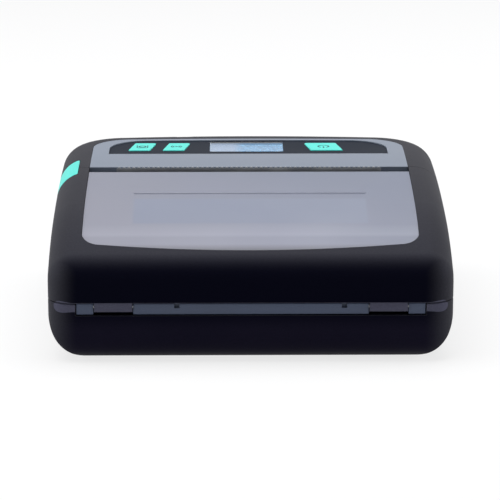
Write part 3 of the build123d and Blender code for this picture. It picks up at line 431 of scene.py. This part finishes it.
dress(lit_panel, "display_module")

# Rubber feet: black styrene rubber discs glued in shallow pockets, matt all over.
foot_rubber = moulded_plastic("black_foot_rubber", "#101011", 0.85, 0.2, 0.5, 0.02)
dress(foot_rubber, "rubber_feet")

# Platen: ground nitrile rubber on a steel shaft; the grinding leaves it dull and even.
platen_rubber = moulded_plastic("ground_nitrile_rubber", "#1b1b1c", 0.75, 0.2, 0.3, 0.01)
dress(platen_rubber, "platen_roller")

# Gears and bushings: natural white acetal, slightly waxy.
white_acetal = moulded_plastic("natural_acetal", "#dedcd2", 0.38, 0.45, 0.8, 0.004,
                               variation=0.02)
dress(white_acetal, "platen_gear", "idler_gear", "platen_bushings")


# Metal parts: rolled steel brackets and springs, turned pins and shafts, zinc-plated screws, and
# the extruded aluminium head sink. Fine directional scratches and a faint uneven sheen.
def metal(name, colour, roughness, scratch_mm, stretch):
    """Metal scratched in one direction: a smaller stretch on an axis is longer scratches on it."""
    material, tree = new_material(name)
    place = add_node(tree, "ShaderNodeTexCoord").outputs["Object"]
    stretched = add_node(tree, "ShaderNodeMapping", {"Vector": place, "Scale": stretch})
    scratch = noise(tree, stretched.outputs[0], scratch_mm, Detail=3.0)
    haze = noise(tree, place, 8.0, Detail=3.0)
    rough = ramp(tree, haze, 0.3, 0.7, roughness - 0.06, roughness + 0.08)
    body = add_node(tree, "ShaderNodeVectorMath",
                    {0: linear(colour)[:3], "Scale": ramp(tree, scratch, 0.3, 0.7, 0.88, 1.05)},
                    operation="SCALE")
    relief = add_node(tree, "ShaderNodeBump",
                      {"Height": scratch, "Strength": 0.6, "Distance": 0.00001})
    shader = add_node(tree, "ShaderNodeBsdfPrincipled",
                      {"Base Color": body.outputs[0], "Roughness": rough, "Metallic": 1.0,
                       "Normal": relief.outputs[0]})
    add_node(tree, "ShaderNodeOutputMaterial", {"Surface": shader.outputs[0]})
    return material


rolled_steel = metal("rolled_steel", "#a9abad", 0.34, 0.4, (0.1, 1.0, 1.0))
dress(rolled_steel, "head_bracket", "tear_bar", "latch_hook_bar", "stepper_motor", "data_port",
      "hinge_pins", "platen_shaft", "gear_axle", "motor_shaft", "motor_pinion")

# Springs: wound piano wire. Four push the print head onto the platen from behind, and one lifts
# the latch; each is one wire, swept along its helix in the space that the CAD sleeve holds.
wound_spring = bpy.data.node_groups.new("wound_spring", "GeometryNodeTree")
# the geometry socket has to come first, or the modifier gives no points to the tree
wound_spring.interface.new_socket("Geometry", in_out="INPUT", socket_type="NodeSocketGeometry")
for name, kind in (("Turns", "NodeSocketFloat"), ("Radius", "NodeSocketFloat"),
                   ("Length", "NodeSocketFloat"), ("Wire", "NodeSocketFloat"),
                   ("Finish", "NodeSocketMaterial")):
    wound_spring.interface.new_socket(name, in_out="INPUT", socket_type=kind)
wound_spring.interface.new_socket("Geometry", in_out="OUTPUT", socket_type="NodeSocketGeometry")
given = add_node(wound_spring, "NodeGroupInput").outputs
helix = add_node(wound_spring, "GeometryNodeCurveSpiral",
                 {"Resolution": 20, "Rotations": given["Turns"], "Start Radius": given["Radius"],
                  "End Radius": given["Radius"], "Height": given["Length"]})
section = add_node(wound_spring, "GeometryNodeCurvePrimitiveCircle",
                   {"Resolution": 8, "Radius": given["Wire"]})
swept = add_node(wound_spring, "GeometryNodeCurveToMesh",
                 {"Curve": helix.outputs["Curve"], "Profile Curve": section.outputs["Curve"],
                  "Fill Caps": True})
turn = add_node(wound_spring, "GeometryNodeInputNamedAttribute", {"Name": "turn"},
                data_type="FLOAT_VECTOR")
placed = add_node(wound_spring, "GeometryNodeInstanceOnPoints",
                  {"Points": given["Geometry"], "Instance": swept.outputs["Mesh"],
                   "Rotation": turn.outputs[0]})
real = add_node(wound_spring, "GeometryNodeRealizeInstances", {0: placed.outputs["Instances"]})
dressed = add_node(wound_spring, "GeometryNodeSetMaterial",
                   {"Geometry": real.outputs[0], "Material": given["Finish"]})
add_node(wound_spring, "NodeGroupOutput", {"Geometry": dressed.outputs[0]})


def wind_springs(name, node, points, turn, turns, radius, length, wire, body):
    """Winds a spring from each point, and puts them all in the place of a CAD node.

    wire is the radius of the wire, and turn the rotation of the spring's axis from +Z.
    """
    mesh = bpy.data.meshes.new(name + "_seats")
    mesh.from_pydata(points, [], [])
    turn_values = mesh.attributes.new("turn", "FLOAT_VECTOR", "POINT")
    for value in turn_values.data:
        value.vector = turn
    seats = bpy.data.objects.new(name + "_seats", mesh)
    scene.collection.objects.link(seats)
    modifier = seats.modifiers.new("wind", "NODES")
    modifier.node_group = wound_spring
    wanted = {"Turns": turns, "Radius": radius, "Length": length, "Wire": wire,
              "Finish": rolled_steel}
    for item in wound_spring.interface.items_tree:
        if item.in_out == "INPUT" and item.name in wanted:
            modifier[item.identifier] = wanted[item.name]
    shown = seats.evaluated_get(bpy.context.evaluated_depsgraph_get())
    coils = bpy.data.objects.new(name, bpy.data.meshes.new_from_object(shown))
    scene.collection.objects.link(coils)
    bpy.data.objects.remove(seats)
    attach(coils, body)
    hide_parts(node)
    return coils


low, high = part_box("head_springs")
wire = 0.0003
head_spring_x = (-0.042, -0.016, 0.016, 0.042)
head_seats = [(x, low.y + wire, (low.z + high.z) / 2) for x in head_spring_x]
wind_springs("head_spring_coils", "head_springs", head_seats, (math.radians(-90), 0.0, 0.0), 4.0,
             (high.z - low.z) / 2 - wire, high.y - low.y - 2 * wire, wire, "root")
low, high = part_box("latch_spring")
wire = 0.0002
latch_seat = ((low.x + high.x) / 2, (low.y + high.y) / 2, low.z + wire)
latch_coil = wind_springs("latch_spring_coil", "latch_spring", [latch_seat], (0.0, 0.0, 0.0), 7.0,
                          (high.x - low.x) / 2 - wire, high.z - low.z - 2 * wire, wire, "cover")
# the key's 2 mm of travel leaves 4 of the spring's 6 mm
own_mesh(latch_coil)

zinc_plate = metal("zinc_plated_steel", "#b4b7bb", 0.3, 0.3, (1.0, 1.0, 1.0))
dress(zinc_plate, "door_screws", "case_screws", "chassis_screws", "board_screws")
sink_alloy = metal("extruded_aluminium", "#c9cccf", 0.4, 0.4, (0.08, 1.0, 1.0))
dress(sink_alloy, "head_sink")

# Print head: glazed ceramic strip, glossy over a fine-grained body.
glazed_ceramic = moulded_plastic("glazed_alumina", "#d9d2c2", 0.15, 0.5, 0.4, 0.002,
                                 variation=0.02)
dress(glazed_ceramic, "print_head")

# Circuit boards with their parts: green solder mask over glass epoxy, black moulded chips.
solder_mask = moulded_plastic("green_solder_mask", "#1d5a34", 0.3, 0.5, 0.5, 0.004,
                              variation=0.12)
dress(solder_mask, "main_board", "keypad_board")
chip_epoxy = moulded_plastic("black_chip_epoxy", "#1a1a1c", 0.6, 0.3, 0.25, 0.01)
dress(chip_epoxy, "board_chips", "buzzer", "paper_sensor", "key_switches")

# Battery: cells in dark blue shrink wrap.
shrink_wrap = moulded_plastic("blue_shrink_wrap", "#1c2f63", 0.32, 0.5, 3.0, 0.05, variation=0.06)
dress(shrink_wrap, "battery_pack")
